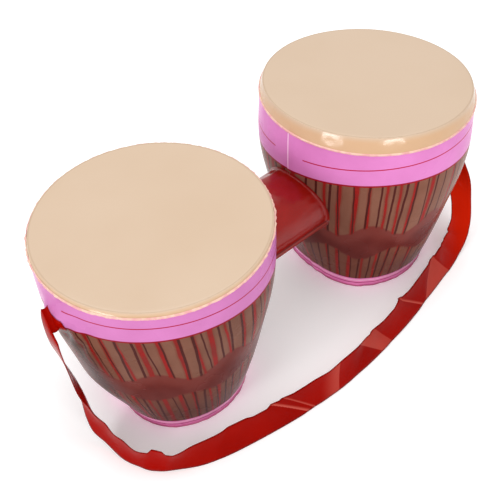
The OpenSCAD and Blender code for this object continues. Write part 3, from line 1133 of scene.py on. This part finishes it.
# Strap tabs
def make_tab(side, paint):
    """A patch on the wall and the slanted fold that carries the strap's end."""
    half = GATHER_W / 2
    top = (ANCHOR_Z + SEAM_R * sin(LEAN)) / cos(LEAN) + PATCH_RISE
    patch = []
    fold = []
    across = []
    for row in range(TAB_ROWS):
        for column in range(TAB_COLUMNS):
            v = row / (TAB_ROWS - 1)
            u = 2 * column / (TAB_COLUMNS - 1) - 1
            rounded = 1 - PATCH_ROUND * abs(2 * v - 1) ** PATCH_POWER
            angle = TAB_ANGLE[side] + u * rounded * half / SEAM_R
            patch.append(wall_point(side, angle, top - PATCH_H * v, PATCH_CLEAR))
            y = u * half * cos(FOLD_SLANT)
            z = ANCHOR_Z + u * half * sin(FOLD_SLANT)
            near = wall_x(side, 1, y, z, FOLD_CLEAR)
            x = near + (side * STRAP_END - near) * v
            sag = FOLD_SAG * sin(pi * v) * (1 + SAG_UNEVEN * sin(SAG_WAVES * u + side))
            fold.append((x, y, z - sag))
            across.append(u * STRAP_W / 2)
    faces = grid_faces(TAB_ROWS, TAB_COLUMNS) + grid_faces(TAB_ROWS, TAB_COLUMNS, first=len(patch))
    mesh_piece(f"strap_end_{NAMES[side]}", patch + fold, faces, paint, "drums",
               [f"strap_tab_{NAMES[side]}"], {"across": across + across})


# Valve
def at_valve(x, y, z):
    """A point of the valve's own frame, where +Z leads out of the wall."""
    turn = -pi / 2 - atan(wall_slope(VALVE_Z))
    across = y * cos(turn) - z * sin(turn)
    along = y * sin(turn) + z * cos(turn)
    return in_drum(RIGHT, x, wall_radius(VALVE_Z) + across, VALVE_Z + along)


def lathe(name, profile, paint, body, nodes):
    """A turned piece on the valve's axis, from pairs of radius and height."""
    points = []
    for radius, height in profile:
        for column in range(VALVE_AROUND):
            angle = 2 * pi * column / VALVE_AROUND
            points.append(at_valve(radius * cos(angle), radius * sin(angle), height))
    faces = grid_faces(len(profile), VALVE_AROUND, closed=True)
    mesh_piece(name, points, faces, paint, body, nodes)


def make_stem(paint):
    edge = VALVE_EDGE
    profile = (
        (BORE_R, -STEM_LEN), (STEM_R - edge, -STEM_LEN), (STEM_R, -STEM_LEN + edge),
        (STEM_R, RIM_LOW - edge), (STEM_R + edge, RIM_LOW), (RIM_R - edge, RIM_LOW),
        (RIM_R, RIM_LOW + edge), (RIM_R, RIM_TOP - edge), (RIM_R - edge, RIM_TOP),
        (BORE_R + edge, RIM_TOP), (BORE_R, RIM_TOP - edge), (BORE_R, -STEM_LEN),
    )
    lathe("stem", profile, paint, "stem", ["valve_stem"])


def make_plug(paint):
    edge = VALVE_EDGE
    tip = CAP_LOW - SHANK_LEN
    dish_r = CAP_R - CAP_RIM
    profile = (
        (AXIS_R, tip), (SHANK_R - SHANK_TIP, tip), (SHANK_R, tip + SHANK_TIP),
        (SHANK_R, CAP_LOW - edge), (SHANK_R + edge, CAP_LOW), (CAP_R - edge, CAP_LOW),
        (CAP_R, CAP_LOW + edge), (CAP_R, CAP_TOP - edge), (CAP_R - edge, CAP_TOP),
        (dish_r, CAP_TOP), (dish_r - CAP_DISH, CAP_TOP - CAP_DISH), (AXIS_R, CAP_TOP - CAP_DISH),
    )
    lathe("plug", profile, paint, "plug", ["valve_plug"])


def make_tether(paint):
    """A thin strip that arches from the stem's rim to the plug's cap."""
    low = (RIM_LOW + RIM_TOP) / 2
    high = (CAP_LOW + CAP_TOP) / 2
    start = RIM_R - TETHER_SINK
    end = CAP_R - TETHER_SINK
    corners = ((-1, 1), (1, 1), (1, -1), (-1, -1))
    points = []
    for row in range(TETHER_ROWS):
        share = row / (TETHER_ROWS - 1)
        turn = pi * share
        reach = start + (end - start) * share + TETHER_ARCH * sin(turn)
        height = low + (high - low) * (1 - cos(turn)) / 2
        for y, out in corners:
            x = reach + out * TETHER_HALF * sin(turn)
            z = height - out * TETHER_HALF * cos(turn)
            points.append(at_valve(x, y * TETHER_W / 2, z))
    faces = tube_faces(TETHER_ROWS, len(corners))
    piece = mesh_piece("tether", points, faces, paint, None, ["plug_tether"])
    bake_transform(piece)


def make_valve(paint):
    """The stem, the plug and its tether, and the valve's paint on the two pieces inside the wall."""
    make_stem(paint)
    make_plug(paint)
    make_tether(paint)
    for node in ("valve_flange", "valve_flap"):
        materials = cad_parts[node].data.materials
        materials.clear()
        materials.append(paint)


# Floor and light
def make_floor():
    paint = Paint("studio_floor", roughness=0.6)
    paint.shader.inputs["Emission Color"].default_value = WHITE
    paint.shader.inputs["Emission Strength"].default_value = FLOOR_GLOW
    light, dark = [(shade, shade, shade, 1) for shade in FLOOR_SHADES]
    base = paint.clouded(light, dark, scale=0.8, detail=2.0)
    corners = [(x * FLOOR_HALF, y * FLOOR_HALF, 0) for x, y in ((-1, -1), (1, -1), (1, 1), (-1, 1))]
    mesh = bpy.data.meshes.new("studio_floor")
    mesh.from_pydata(corners, [], [(0, 1, 2, 3)])
    mesh.materials.append(paint.finish(base))
    new_object("studio_floor", mesh)


def area_light(name, place, width, height, power):
    """A soft light that faces the middle of the drums."""
    data = bpy.data.lights.new(name, "AREA")
    data.shape = "RECTANGLE"
    data.size = width
    data.size_y = height
    data.energy = power
    light = new_object(name, data)
    light.location = place
    facing = LIGHT_TARGET - light.location
    light.rotation_euler = facing.to_track_quat("-Z", "Y").to_euler()


def make_light():
    world = bpy.data.worlds.new("studio")
    world.use_nodes = True
    sky = world.node_tree.nodes["Background"]
    sky.inputs["Color"].default_value = WHITE
    sky.inputs["Strength"].default_value = SKY_STRENGTH
    bpy.context.scene.world = world
    bpy.context.scene.view_settings.view_transform = "Standard"
    for name, values in LIGHTS.items():
        area_light(name, *values)


place_camera()
strap_vinyl = strap_paint()
make_strap(strap_vinyl)
head_vinyl = head_paint()
weld_lip = lip_paint()
foot_vinyl = foot_paint()
for drum_side in (LEFT, RIGHT):
    make_wall(drum_side)
    make_head(drum_side, head_vinyl)
    make_lip(drum_side, weld_lip)
    make_base(drum_side, foot_vinyl)
    make_tab(drum_side, strap_vinyl)
bridge_vinyl = bridge_paint()
make_bridge(True, bridge_vinyl)
make_bridge(False, bridge_vinyl)
make_valve(valve_paint())
make_floor()
make_light()
